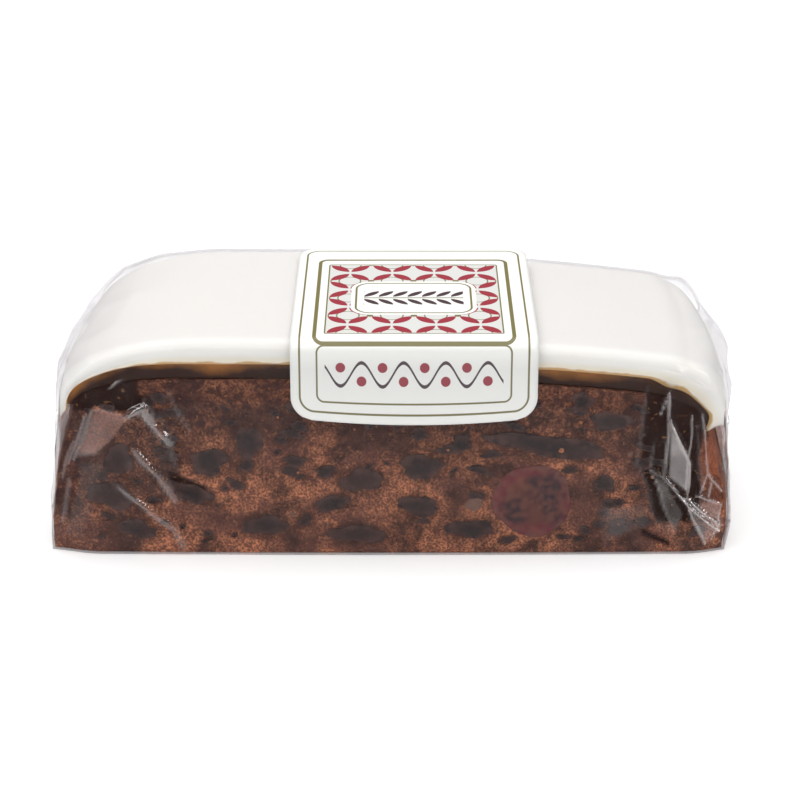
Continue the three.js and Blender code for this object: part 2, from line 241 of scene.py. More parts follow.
def addMesh(name, points, quads, uv, finish, nodes, tone=None):
    mesh = bpy.data.meshes.new(name)
    mesh.vertices.add(len(points))
    mesh.vertices.foreach_set("co", (points * metre).astype(np.float32).ravel())
    mesh.loops.add(quads.size)
    mesh.loops.foreach_set("vertex_index", quads.astype(np.int32).ravel())
    mesh.polygons.add(len(quads))
    mesh.polygons.foreach_set("loop_start", np.arange(0, quads.size, 4, dtype=np.int32))
    mesh.update(calc_edges=True)
    mesh.validate()
    mesh.shade_smooth()
    layer = mesh.uv_layers.new(name="Grid")
    layer.data.foreach_set("uv", uv[quads.ravel()].astype(np.float32).ravel())
    if tone is not None:
        mesh.attributes.new("Tone", "FLOAT", "POINT").data.foreach_set("value", tone.astype(np.float32))
    mesh.materials.append(finish)
    piece = bpy.data.objects.new(name, mesh)
    bpy.context.scene.collection.objects.link(piece)
    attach(piece, "root")
    if nodes:
        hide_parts(*nodes)
    print("made", name, len(quads), "quads")
    return piece


# Shader helpers


def linear(red, green, blue):  # an sRGB colour out of 255, made linear
    shares = np.array([red, green, blue]) / 255
    values = np.where(shares <= 0.04045, shares / 12.92, ((shares + 0.055) / 1.055) ** 2.4)
    return (*[float(v) for v in values], 1.0)


def newFinish(name):
    finish = bpy.data.materials.new(name)
    finish.use_nodes = True
    return finish, finish.node_tree, finish.node_tree.nodes["Principled BSDF"]


class Field:
    # a value over a surface, held as the socket that puts it out; arithmetic with it adds Math nodes
    def __init__(self, socket):
        self.socket = socket
        self.tree = socket.id_data

    def __add__(self, other):
        return calc("ADD", self, other)

    def __sub__(self, other):
        return calc("SUBTRACT", self, other)

    def __rsub__(self, other):
        return calc("SUBTRACT", other, self)

    def __mul__(self, other):
        return calc("MULTIPLY", self, other)

    def __abs__(self):
        return calc("ABSOLUTE", self)


def addNode(tree, kind, values=None, out=0, **settings):
    node = tree.nodes.new(kind)
    for key, value in settings.items():
        setattr(node, key, value)
    for key, value in (values or {}).items():
        if isinstance(value, Field):
            tree.links.new(value.socket, node.inputs[key])
        else:
            node.inputs[key].default_value = value
    return Field(node.outputs[out])


def calc(operation, *values):
    tree = [value.tree for value in values if isinstance(value, Field)][0]
    return addNode(tree, "ShaderNodeMath", dict(enumerate(values)), operation=operation)


def between(value, low, high, start=0.0, end=1.0, kind="LINEAR"):
    # start where the value is low, end where it is high, and blended between
    values = {0: value, 1: low, 2: high, 3: start, 4: end}
    return addNode(value.tree, "ShaderNodeMapRange", values, interpolation_type=kind)


def blendColours(share, first, second):  # a colour is a Field, or sRGB out of 255
    first, second = [linear(*colour) if isinstance(colour, tuple) else colour for colour in (first, second)]
    return addNode(share.tree, "ShaderNodeMix", {0: share, 6: first, 7: second}, 2, data_type="RGBA")


def makeMottle():
    # a group that turns a noise into a mask: soft patches of one size, cut between two levels
    group = bpy.data.node_groups.new("Mottle", "ShaderNodeTree")
    for name, kind, start in (
        ("Place", "NodeSocketVector", None),
        ("Scale", "NodeSocketFloat", 200.0),
        ("Detail", "NodeSocketFloat", 3.0),
        ("Low", "NodeSocketFloat", 0.4),
        ("High", "NodeSocketFloat", 0.6),
    ):
        socket = group.interface.new_socket(name, in_out="INPUT", socket_type=kind)
        if start is not None:
            socket.default_value = start
    group.interface.new_socket("Mask", in_out="OUTPUT", socket_type="NodeSocketFloat")
    into = {socket.name: Field(socket) for socket in group.nodes.new("NodeGroupInput").outputs}
    values = {"Vector": into["Place"], "Scale": into["Scale"], "Detail": into["Detail"]}
    noise = addNode(group, "ShaderNodeTexNoise", values)
    mask = between(noise, into["Low"], into["High"], kind="SMOOTHSTEP")
    group.links.new(mask.socket, group.nodes.new("NodeGroupOutput").inputs["Mask"])
    return group


mottleGroup = makeMottle()


def mottle(place, scale, detail, low, high):
    values = {"Place": place, "Scale": scale, "Detail": detail, "Low": low, "High": high}
    return addNode(place.tree, "ShaderNodeGroup", values, "Mask", node_tree=mottleGroup)


def objectPlace(tree):
    return addNode(tree, "ShaderNodeTexCoord", out="Object")


def partsOf(place):  # its x, y and z
    first = addNode(place.tree, "ShaderNodeSeparateXYZ", {0: place})
    return [Field(socket) for socket in first.socket.node.outputs]


def gridParts(tree):  # the piece's own UV map
    return partsOf(addNode(tree, "ShaderNodeUVMap"))


def pointTone(tree):  # the attribute that addMesh writes
    return addNode(tree, "ShaderNodeAttribute", out="Fac", attribute_name="Tone")


def addBump(shader, height, distance, strength):
    values = {"Height": height, "Distance": distance, "Strength": strength}
    bump = addNode(height.tree, "ShaderNodeBump", values)
    height.tree.links.new(bump.socket, shader.inputs["Normal"])


def dress(shader, colour, look, height=None):  # the look holds the roughness, shine and bump
    colour.tree.links.new(colour.socket, shader.inputs["Base Color"])
    shader.inputs["Roughness"].default_value = look["roughness"]
    shader.inputs["Specular IOR Level"].default_value = look["shine"]
    if height is not None:
        addBump(shader, height, *look["bump"])


# Crumb

crumbLook = {
    "cells": (280, 36, 84),
    "foot": 0.15,  # the crumb stands on the film
    "leftFoot": 82.2,  # half lengths along the foot
    "rightFoot": 80.6,
    "endSwell": 1.3,
    "broad": 0.2,  # height of the broad unevenness
    "fine": 0.16,
    "ends": 0.35,  # height of the ends' unevenness
    "pores": 0.3,  # depth of the pits
    "brown": (118, 77, 69),
    "orange": (236, 154, 114),
    "slate": (64, 42, 40),  # soaked crumb round the dark fruit, and the first step of the painted end shade
    # painted shade at the crumb's ends
    "paintedShadeBrown": (46, 22, 15),
    # rust orange, and painted light on the crumb behind a lit film facet
    "paintedLightAndRust": (182, 102, 68),
    "speck": (220, 150, 100),
    "patches": (75.0, 5.0, 0.38, 0.6),  # scale, detail, low and high of each mottle
    "clots": (500.0, 4.0, 0.38, 0.6),
    "grain": (1900.0, 3.0, 0.36, 0.64),
    "darks": (120.0, 5.0, 0.48, 0.62),
    "specks": (950.0, 1.0, 0.66, 0.71),
    "darkest": 0.87,  # the tone from which the crumb turns from slate to the painted shade brown
    "roughness": 0.65,
    "shine": 0.15,
    "bump": (0.0004, 0.8),  # height in metres, and strength
}


def crumbFinish():
    # brown to orange by patches * clots * grain, slate in dark patches, near the fruit and between grains;
    # by the tone also slate, then painted shade towards 1, and below 0 rust that is partly painted light
    finish, tree, shader = newFinish("CrumbFinish")
    place = objectPlace(tree)
    names = ("patches", "clots", "grain", "darks", "specks")
    patches, clots, grain, darks, specks = [mottle(place, *crumbLook[name]) for name in names]
    tone = pointTone(tree)
    share = (patches * 0.8 + 0.1) * (clots * 0.5 + 0.55) * (grain * 0.9 + 0.45)
    colour = blendColours(share, crumbLook["brown"], crumbLook["orange"])
    dim = calc("MAXIMUM", darks * 0.8, tone) * (clots * -0.25 + 1.0)
    colour = blendColours(dim, colour, crumbLook["slate"])
    colour = blendColours(grain * -0.4 + 0.4, colour, crumbLook["slate"])
    # painted shade where the tone nears 1
    colour = blendColours(between(tone, crumbLook["darkest"], 1.0), colour, crumbLook["paintedShadeBrown"])
    # rust below 0, and painted light behind a lit film facet
    rustAndPaintedLight = tone * -1.0 * (darks * -0.6 + 1.0) * (grain * 0.5 + 0.55)
    colour = blendColours(rustAndPaintedLight, colour, crumbLook["paintedLightAndRust"])
    colour = blendColours(specks * 0.25, colour, crumbLook["speck"])
    dress(shader, colour, crumbLook, grain)
    return finish


def fruitReach(points, x, y, z, lists):
    # 1 inside any of the ovals and 0 well outside them: the distance over the oval's size, waved by noise
    warp = 0.3 * layeredNoise(points, 3.0, 3, 81)
    reach = np.zeros(len(x))
    for fruit, side in lists:
        near = side * y > bar["depth"] / 2 - 4
        for fruitX, fruitZ, wide, high, tilt in fruit:
            turn = math.radians(tilt)
            right = (x[near] - fruitX) * math.cos(turn) + (z[near] - fruitZ) * math.sin(turn)
            up = (z[near] - fruitZ) * math.cos(turn) - (x[near] - fruitX) * math.sin(turn)
            radius = np.hypot(right / (wide + 0.3), up / (high + 0.3)) + warp[near]
            reach[near] = np.maximum(reach[near], 1 - ramp(radius, 0.8, 1.65))
    return reach


def paintedEndShade(points, x, z):
    # painted shade at the ends: 1 in a band and a fold's shadow line near the right end, and in a patch,
    # a corner and a shadow line near the left end: each is a product of ramps over x and z that noise waves
    wander = layeredNoise(points, 12.0, 3, 82)
    slanted = x - 0.27 * np.maximum(0, 24 - z)
    right = ramp(slanted + wander, 57, 59) * (1 - 0.9 * ramp(x + 2 * wander, 72, 75))  # the band
    right *= ramp(z + 4 * wander, 3, 9)
    paintedFoldShadow = ramp(1.9 - np.abs(z - 6.2 + 0.5 * (x - 59)) + 0.3 * wander, 0, 1.2)  # a fold's painted shadow, along a slanting line
    paintedFoldShadow *= ramp(x, 57.5, 60) * (1 - ramp(x, 66, 69))
    left = 0.8 * ramp(-x + 4 * wander, 48, 54) * (1 - ramp(-x + 4 * wander, 60, 66))
    left *= ramp(z + 4 * wander, 10, 18)
    corner = ramp(-x + 2 * wander, 56, 60) * ramp(z + wander, 35, 37)
    paintedShadeMark = ramp(3.2 - np.abs(z - 17.2 + 0.5 * (x + 49.2)) + 0.6 * wander, 0, 1.5)  # another painted shadow line
    paintedShadeMark *= ramp(-x, 42.5, 45) * (1 - ramp(-x, 53, 55.5))
    return np.maximum.reduce([right, paintedFoldShadow, left, corner, paintedShadeMark])


def shadeCrumb(points, x, z):
    # the tone without the fruit: it grows towards the marzipan and in the painted end shade, and is
    # below 0 for rust on the front of the right end, and for painted light behind a lit facet of the film
    wander = layeredNoise(points, 12.0, 3, 82)
    upper = crumbLook["darkest"] * ramp(z + 8 * wander, 20, 33)
    rustAndPaintedLight = 0.85 * ramp(x + 2 * wander, 72.5, 75) * ramp(z + 3 * wander, 8, 14) * (1 - ramp(z, 35, 39))
    rustAndPaintedLight *= ramp(-points[:, 1] + 6 * wander, 16, 27)
    paintedLightUnderFacet = foldHeight([], foldSheets[5:6], x, z)[1]  # painted light under the upper left facet
    rustAndPaintedLight = np.maximum(rustAndPaintedLight, 2.4 * paintedLightUnderFacet)
    return np.where(rustAndPaintedLight > 0.05, -rustAndPaintedLight, np.maximum(upper, paintedEndShade(points, x, z)))


def makeCrumb():
    # x and z blend by c from the foot to the arch, then a relief of noises and pits moves each point along
    # its normal, less where fruit is sunk
    a, b, c, quads = lattice(*crumbLook["cells"])
    topX, topZ = archPoint(crumbArch, a)
    y, edgeDrop = rowAt(b, bar["depth"] / 2, 0.6)
    leftScale = crumbLook["leftFoot"] / crumbArch["left"]
    baseX = topX * np.where(a < 0, leftScale, crumbLook["rightFoot"] / crumbArch["right"])
    x = baseX + (topX - baseX) * c
    z = crumbLook["foot"] + (topZ - edgeDrop - crumbLook["foot"]) * c
    swell = np.sign(a) * crumbLook["endSwell"] * ramp(np.abs(a), 0.93, 1)
    x = x + swell * np.sin(np.pi * np.clip(z / 38, 0, 1))
    points = tuckCorners(handCut(x, y, z))
    darkFruit = [(frontFruit, -1), (frontSmall, -1), (rearFruit, 1), (rearSmall, 1)]
    stain = fruitReach(points, x, y, z, darkFruit)
    shade = shadeCrumb(points, x, z)
    tone = np.where(shade < 0, shade, np.maximum(0.75 * stain, shade))
    sunk = np.maximum(stain, fruitReach(points, x, y, z, [(frontCherry, -1), (rearCherry, 1)]))
    normals = pointNormals(points, quads)
    pits = ramp(softNoise(points, 1.6, 31), 0.45, 0.9)
    relief = crumbLook["broad"] * softNoise(points, 9.0, 3)
    relief += crumbLook["fine"] * layeredNoise(points, 2.4, 2, 5)
    relief -= crumbLook["pores"] * pits
    relief = relief * (1 - 0.8 * sunk) - 0.25 * sunk
    relief += crumbLook["ends"] * layeredNoise(points, 3.6, 2, 7) * ((np.abs(a) == 1) & (c < 0.97))
    relief *= ramp(z, crumbLook["foot"], 2) * (1 - ramp(np.where(np.abs(b) < 1, c, 0), 0.97, 1))
    points += normals * relief[:, None]
    uv = np.stack([a, c], -1)
    return addMesh("cake_crumb", points, quads, uv, crumbFinish(), ["crumb"], tone)


# Fruit

fruitLook = {
    "rings": 14,
    "spokes": 28,
    "proud": 0.16,  # how far it stands out of the cut face
    "smallProud": 0.14,
    "ragged": 0.2,  # how much its outline waves
    "smallRagged": 0.26,
    "reach": 2.4,  # how far into the crumb it goes at most
    "wrinkle": (0.12, 1.4),  # height and size
    "scattered": 150,  # small dark fruit tried on each cut face
    "raisin": (40, 28, 28),
    "raisinLight": (62, 40, 36),
    "skin": (88, 62, 58),
    "dust": (500.0, 3.0, 0.5, 0.75),
    "mealy": (300.0, 5.0, 0.42, 0.6),
    "frayed": (450.0, 4.0, 0.34, 0.56),
    "wrinkles": (700.0, 3.0, 0.3, 0.7),
    "roughness": 0.5,
    "shine": 0.25,
    "bump": (0.0004, 0.6),
}
cherryLook = {
    "proud": 0.3,
    "ragged": 0.06,
    "wrinkle": (0.1, 2.0),
    "flesh": (102, 54, 46),
    "rim": (112, 44, 52),
    # painted shade in the cherry's hollows
    "paintedHollowShade": (54, 32, 38),
    "fibre": (144, 84, 68),
    "hearts": ((2.4, 2.6, 4.6), (-5.2, -2.8, 3.8), (4.2, -3.6, 3.0)),  # right, up and size of hollows
    "fibres": (420.0, 4.0, 0.4, 0.65),
    "frayed": (700.0, 3.0, 0.4, 0.56),
    "roughness": 0.4,
    "shine": 0.25,
    "bump": (0.0004, 0.4),
}
bitsLook = {
    "proud": 0.35,
    "ragged": 0.12,
    "peel": (204, 122, 66),
    "nut": (126, 92, 72),
    "clouds": (800.0, 3.0, 0.4, 0.6),
    "roughness": 0.35,
    "shine": 0.5,
    "bump": (0.0003, 0.5),
}

# x, z, half width, half height and tilt in degrees of each fruit that is a solid too, the prune first
frontFruit = np.array([
    (37.0, 28.6, 13.5, 2.9, -8), (-67.2, 14.8, 5.6, 3.3, -6), (-61.6, 6.2, 5.0, 2.1, -8),
    (-48.2, 15.6, 5.4, 2.3, -25), (-65.0, 24.0, 3.2, 4.2, 0), (-43.6, 23.6, 4.4, 3.3, 0),
    (-34.0, 28.6, 3.2, 4.0, 10), (-30.6, 7.2, 5.2, 2.6, 0), (-7.4, 19.0, 5.2, 2.8, 0),
    (-14.6, 13.0, 4.4, 1.9, 18), (-8.5, 5.0, 6.8, 2.2, 0), (6.6, 22.6, 4.8, 3.2, 8),
    (6.0, 12.4, 5.2, 2.3, -8), (18.4, 6.4, 5.4, 2.4, 0), (51.0, 36.0, 4.6, 2.6, 0),
])
rearFruit = np.array([
    (61.0, 12.0, 5.4, 3.0, 10), (44.0, 27.0, 5.0, 2.6, -14), (22.0, 9.0, 6.0, 2.6, 0),
    (8.0, 30.0, 4.6, 2.8, 12), (-4.0, 12.0, 4.4, 3.4, 0), (-44.0, 9.0, 5.6, 2.4, -6),
    (-52.0, 28.0, 5.0, 3.0, 8), (-66.0, 16.0, 3.4, 4.2, 0),
])
peelBits = np.array([
    (39.7, 27.6, 0.7, 0.6, 0), (44.0, 35.2, 0.5, 0.4, 0), (22.0, 17.4, 0.8, 0.5, 8),
    (-38.0, 12.0, 0.4, 0.3, 20), (-22.5, 21.0, 0.4, 0.3, 0), (0.5, 8.5, 0.4, 0.3, 0),
    (54.0, 8.0, 0.4, 0.3, 0), (-57.0, 21.0, 0.4, 0.3, 30), (13.0, 27.0, 0.4, 0.3, 0),
    (-27.0, 35.0, 0.3, 0.3, 0), (61.5, 21.5, 0.4, 0.4, 0), (-9.0, 32.0, 0.3, 0.3, 0),
])
nutBits = np.array([(19.2, 13.0, 2.2, 1.6, 10), (-24.0, 10.2, 0.8, 0.5, 0), (56.0, 27.5, 0.7, 0.5, 40)])
frontCherry = np.array([(33.2, 14.0, 9.7, 9.3, 0)])
rearCherry = np.array([(-24.0, 22.0, 8.8, 8.4, 0)])


def scatterFruit(seed, count, taken):
    # random flat ovals over a cut face, kept where no larger fruit is
    draw = np.random.default_rng(seed)
    x = draw.uniform(-74, 73, count)
    z = draw.uniform(2.5, 41, count)
    wide = draw.uniform(0.7, 3.4, count) * draw.uniform(0.6, 1, count)
    high = wide * draw.uniform(0.35, 0.8, count)
    tilt = draw.normal(0, 16, count)
    gapX = (x[:, None] - taken[None, :, 0]) / (taken[None, :, 2] + wide[:, None] + 0.3)
    gapZ = (z[:, None] - taken[None, :, 1]) / (taken[None, :, 3] + high[:, None] + 0.3)
    clear = (gapX**2 + gapZ**2 > 1).all(axis=1)
    return np.stack([x, z, wide, high, tilt], -1)[clear]


frontSmall = scatterFruit(11, fruitLook["scattered"], np.concatenate([frontFruit, frontCherry]))
rearSmall = scatterFruit(23, fruitLook["scattered"], np.concatenate([rearFruit, rearCherry]))


def fruitBlobs(fruit, side, seed, proud, raggedness):
    # for each fruit, a round grid: r = sin(polar) out from the middle, its outline waved by the angle, and
    # its depth cos(polar) times the proud height outside and its reach into the crumb inside
    rings, spokes = fruitLook["rings"], fruitLook["spokes"]
    polar = np.linspace(0.02, np.pi - 0.02, rings + 1)[None, :, None]
    angle = np.linspace(0, 2 * np.pi, spokes, endpoint=False)[None, None, :]
    draw = np.random.default_rng(seed)
    phase = draw.uniform(0, 2 * np.pi, (4, len(fruit), 1, 1))
    wave = np.sin(2 * angle + phase[0]) * 0.5 + np.sin(3 * angle + phase[1]) * 0.6
    wave = wave + np.sin(5 * angle + phase[2]) * 0.4 + np.sin(9 * angle + phase[3]) * 0.25
    outline = 1 + raggedness * wave
    radius = np.sin(polar) * outline
    right = radius * np.cos(angle) * fruit[:, 2, None, None]
    up = radius * np.sin(angle) * fruit[:, 3, None, None]
    tilt = np.radians(fruit[:, 4])[:, None, None]
    x = fruit[:, 0, None, None] + right * np.cos(tilt) - up * np.sin(tilt)
    z = fruit[:, 1, None, None] + right * np.sin(tilt) + up * np.cos(tilt)
    reach = np.minimum(fruitLook["reach"], fruit[:, 3])[:, None, None]
    height = np.cos(polar)
    outward = np.maximum(height, 0) ** 0.6 * proud + np.minimum(height, 0) * reach + np.zeros_like(x)
    onFace = tuckCorners(handCut(x.ravel(), np.full(x.size, side * bar["depth"] / 2), z.ravel()))
    onFace[:, 1] += side * outward.ravel()
    ids = np.arange(x.size).reshape(x.shape)
    turned = np.roll(ids, -1, axis=2)
    quads = np.stack([ids[:, :-1], ids[:, 1:], turned[:, 1:], turned[:, :-1]], -1).reshape(-1, 4)
    shade = np.broadcast_to(draw.uniform(0, 1, (len(fruit), 1, 1)), x.shape)
    uv = np.stack([np.broadcast_to(radius, x.shape).ravel(), shade.ravel()], -1)
    return onFace, quads if side > 0 else quads[:, ::-1], uv


def joined(parts):  # several point lists with their quads and UVs, made one
    starts = np.cumsum([0] + [len(points) for points, _, _ in parts[:-1]])
    points = np.concatenate([part[0] for part in parts])
    quads = np.concatenate([part[1] + start for part, start in zip(parts, starts)])
    return points, quads, np.concatenate([part[2] for part in parts])


def wrinkle(points, quads, height, size, seed):  # moves each point along its normal by a noise
    normals = pointNormals(points, quads)
    return points + normals * (height * layeredNoise(points, size, 2, seed))[:, None]


def raisinFinish():
    # a shade for each fruit, dusted with crumb, and frayed into the crumb's colour towards its rim
    finish, tree, shader = newFinish("RaisinFinish")
    place = objectPlace(tree)
    radius, chance, _ = gridParts(tree)
    names = ("dust", "mealy", "frayed", "wrinkles")
    dust, mealy, frayed, wrinkles = [mottle(place, *fruitLook[name]) for name in names]
    colour = blendColours(chance * chance, fruitLook["raisin"], fruitLook["raisinLight"])
    colour = blendColours(dust * 0.15, colour, crumbLook["brown"])
    colour = blendColours(mealy * 0.4, colour, crumbLook["slate"])
    colour = blendColours(between(radius, 0.35, 0.9) * frayed * 0.9, colour, fruitLook["skin"])
    dress(shader, colour, fruitLook, wrinkles)
    return finish


def cherryFinish():
    # paler flesh inside the rim, painted shade in the hollows by the tone, and fibres
    finish, tree, shader = newFinish("CherryFinish")
    place = objectPlace(tree)
    radius = gridParts(tree)[0]
    rim = between(radius, 0.6, 0.8, kind="SMOOTHSTEP")
    colour = blendColours(rim, cherryLook["flesh"], cherryLook["rim"])
    colour = blendColours(pointTone(tree), colour, cherryLook["paintedHollowShade"])
    fibres = mottle(place, *cherryLook["fibres"])
    colour = blendColours(fibres * 0.42, colour, cherryLook["fibre"])
    crumbs = between(radius, 0.8, 1.0) * mottle(place, *cherryLook["frayed"])
    colour = blendColours(crumbs, colour, crumbLook["brown"])
    dress(shader, colour, cherryLook, fibres)
    return finish


def bitsFinish(name, tone):
    finish, tree, shader = newFinish(name)
    clouds = mottle(objectPlace(tree), *bitsLook["clouds"])
    shader.inputs["Subsurface Weight"].default_value = 0.2
    shader.inputs["Subsurface Scale"].default_value = 0.001
    dress(shader, blendColours(clouds * 0.6, tone, crumbLook["brown"]), bitsLook, clouds)
    return finish


def makeFruit():
    raisins = raisinFinish()
    cherry = cherryFinish()
    frontNodes = ["prune_front"] + ["raisin_front_%d" % k for k in range(1, 15)]
    rearNodes = ["raisin_rear_%d" % k for k in range(1, 9)]
    for name, big, small, side, seed, nodes in (
        ("front", frontFruit, frontSmall, -1, 11, frontNodes),
        ("rear", rearFruit, rearSmall, 1, 23, rearNodes),
    ):
        bigParts = fruitBlobs(big, side, seed, fruitLook["proud"], fruitLook["ragged"])
        smallParts = fruitBlobs(small, side, seed + 1, fruitLook["smallProud"], fruitLook["smallRagged"])
        points, quads, uv = joined([bigParts, smallParts])
        points = wrinkle(points, quads, *fruitLook["wrinkle"], seed)
        addMesh("dried_fruit_" + name, points, quads, uv, raisins, nodes)
    for name, fruit, side in (("cherry_cut_front", frontCherry, -1), ("cherry_cut_rear", rearCherry, 1)):
        points, quads, uv = fruitBlobs(fruit, side, 5, cherryLook["proud"], cherryLook["ragged"])
        points = wrinkle(points, quads, *cherryLook["wrinkle"], 9)
        # painted shade in the cherry's hollows, which the tone carries
        paintedShadeMark = np.zeros(len(points))
        warp = 0.35 * layeredNoise(points, 3.0, 3, 91)
        for right, up, size in cherryLook["hearts"]:
            away = np.hypot(points[:, 0] - fruit[0, 0] - right, points[:, 2] - fruit[0, 1] - up) / size
            paintedShadeMark = np.maximum(paintedShadeMark, 1 - ramp(away + warp, 0.5, 1.4))
        addMesh(name, points, quads, uv, cherry, [name.replace("_cut", "")], paintedShadeMark)
    for name, fruit, side, tone in (
        ("peel_front", peelBits, -1, "peel"),
        ("peel_rear", peelBits, 1, "peel"),
        ("nut_front", nutBits, -1, "nut"),
        ("nut_rear", nutBits, 1, "nut"),
    ):
        points, quads, uv = fruitBlobs(fruit, side, 14, bitsLook["proud"], bitsLook["ragged"])
        addMesh(name, points, quads, uv, bitsFinish(name + "_finish", bitsLook[tone]), [])


# Marzipan and icing


def layerPoints(lower, upper, cells, grow, round, lean, hang):
    # each point is the blend by c of the lower and the upper arch at q, which hang lets run down the ends
    a, b, c, quads = lattice(*cells)
    q = a * (1 + np.where(np.abs(a) > bar["flatShare"], hang(a, b), 0) / 100)
    lowX, lowZ = archPoint(lower, q)
    highX, highZ = archPoint(upper, q)
    y, edgeDrop = rowAt(b, bar["depth"] / 2 + grow, round)
    points = handCut(lowX + (highX - lowX) * c, y * (1 - lean * c), lowZ + (highZ - edgeDrop - lowZ) * c)
    return points, quads, a, b, c


marzipanLook = {
    "cells": (320, 30, 8),
    "inset": 0.55,  # its cut face lies this far behind the crumb's
    "round": 0.4,
    "gold": (166, 106, 46),
    "brown": (48, 22, 10),
    "wander": (45.0, 5.0, 0.35, 0.65),
    "pits": (420.0, 3.0, 0.3, 0.7),
    "dulledSpan": (0.046, 0.06),  # in metres along the bar
    "roughness": 0.35,
    "shine": 0.2,
    "bump": (0.0004, 0.5),
}


def marzipanFinish():
    # gold where the height in the band and a wandering mottle add up, else brown; duller to the right
    finish, tree, shader = newFinish("MarzipanFinish")
    place = objectPlace(tree)
    lit = gridParts(tree)[1] + mottle(place, *marzipanLook["wander"])
    dulled = between(partsOf(place)[0], *marzipanLook["dulledSpan"], 1.0, 0.15)
    share = between(lit, 0.9, 1.8) * dulled
    colour = blendColours(share, marzipanLook["brown"], marzipanLook["gold"])
    dress(shader, colour, marzipanLook, mottle(place, *marzipanLook["pits"]))
    return finish


def makeMarzipan():
    lower, upper = grown(crumbArch, 0.03), grown(icingInner, -0.03)  # it touches the crumb and the icing
    shape = (lower, upper, marzipanLook["cells"], -marzipanLook["inset"], marzipanLook["round"], 0)
    points, quads, a, b, c = layerPoints(*shape, lambda a, b: 0 * a)
    normals = pointNormals(points, quads)
    points += normals * (0.12 * softNoise(points, 5.0, 41) * (np.abs(b) == 1))[:, None]
    uv = np.stack([a, c], -1)
    return addMesh("marzipan_band", points, quads, uv, marzipanFinish(), ["marzipan"])


icingLook = {
    "cells": (320, 60, 16),
    "round": 2.6,
    "lean": 0.02,  # the cut face leans out at its foot by this share of the half depth
    "hangLeft": 0.8,  # how far its hem hangs down at the ends
    "hangRight": 0.9,
    "white": (249, 246, 241),
    "cream": (255, 244, 224),
    "soaked": (206, 162, 106),
    "soak": (260.0, 3.0, 0.3, 0.7),
    "waves": (90.0, 3.0, 0.2, 0.8),
    "roughness": 0.6,
    "shine": 0.12,
    "bump": (0.0006, 0.25),
}


def icingFinish():
    # white on top, creamy towards the foot, and soaked with brown along the lowest edge
    finish, tree, shader = newFinish("IcingFinish")
    place = objectPlace(tree)
    height = gridParts(tree)[1]
    low = between(height, 0.98, 0.2, kind="SMOOTHSTEP")
    colour = blendColours(low, icingLook["white"], icingLook["cream"])
    soak = mottle(place, *icingLook["soak"]) * 0.16 + 0.06
    colour = blendColours(between(height - soak, 0.1, -0.04), colour, icingLook["soaked"])
    shader.inputs["Subsurface Weight"].default_value = 0.5
    shader.inputs["Subsurface Radius"].default_value = (1.0, 0.95, 0.9)
    shader.inputs["Subsurface Scale"].default_value = 0.003
    dress(shader, colour, icingLook, mottle(place, *icingLook["waves"]))
    return finish


def icingHang(a, b):  # the ragged hem: a plain length and two noises
    along = np.stack([b * 30, np.sign(a) * 40, 0 * a], -1)
    ragged = 0.9 * softNoise(along, 7.0, 51) + 0.5 * softNoise(along, 2.5, 52)
    return np.where(a < 0, icingLook["hangLeft"], icingLook["hangRight"]) + ragged


def makeIcing():
    shape = (icingInner, icingArch, icingLook["cells"], 0.1, icingLook["round"], icingLook["lean"])
    points, quads, a, b, c = layerPoints(*shape, icingHang)
    normals = pointNormals(points, quads)
    roughEdge = (np.abs(b) > 0.98) * (1 - c) + (np.abs(a) > 0.97) * 0.6
    relief = 0.1 * softNoise(points, 22.0, 61)
    relief += 0.14 * layeredNoise(points, 3.0, 2, 62) * np.clip(roughEdge, 0, 1)
    points += normals * relief[:, None]
    # the underside of the icing is torn at the right end, where it thickens and thins
    torn = ramp(points[:, 0], 56, 72) * (1 - c) ** 2 * (np.abs(b) > 0.9)
    slant = np.stack([points[:, 0] + points[:, 2], 0 * a, b * 10], -1)
    tear = 1.2 * softNoise(slant, 5.0, 63) + 0.9 * softNoise(slant, 2.0, 64) + 0.8
    points[:, 0] -= 0.8 * torn * tear
    points[:, 2] -= 1.0 * torn * tear
    uv = np.stack([a, c], -1)
    return addMesh("icing_slab", points, quads, uv, icingFinish(), ["icing"])


# Film

filmLook = {
    "cells": (340, 40, 84),
    "round": 3.0,
    "leftBase": 82.7,
    "rightBase": 81.4,
    "grow": 1.0,  # how far the film stands off the cut faces
    "bulgeLeft": 1.0,  # how far it stands off the shoulders
    "bulgeRight": 1.6,
    "clear": (250, 250, 250),
    "edge": (196, 194, 202),
    "gloss": (251, 244, 243),
    "mirror": 0.32,  # share of the Fresnel reflection that one layer shows
    "layered": 21.0,  # how much more a fold of many layers reflects
    "most": 0.85,
    "clinging": 0.04,  # how much less it shines where it clings to moist patches
    "crumple": 140.0,
    "bump": (0.0012, 0.5),
}

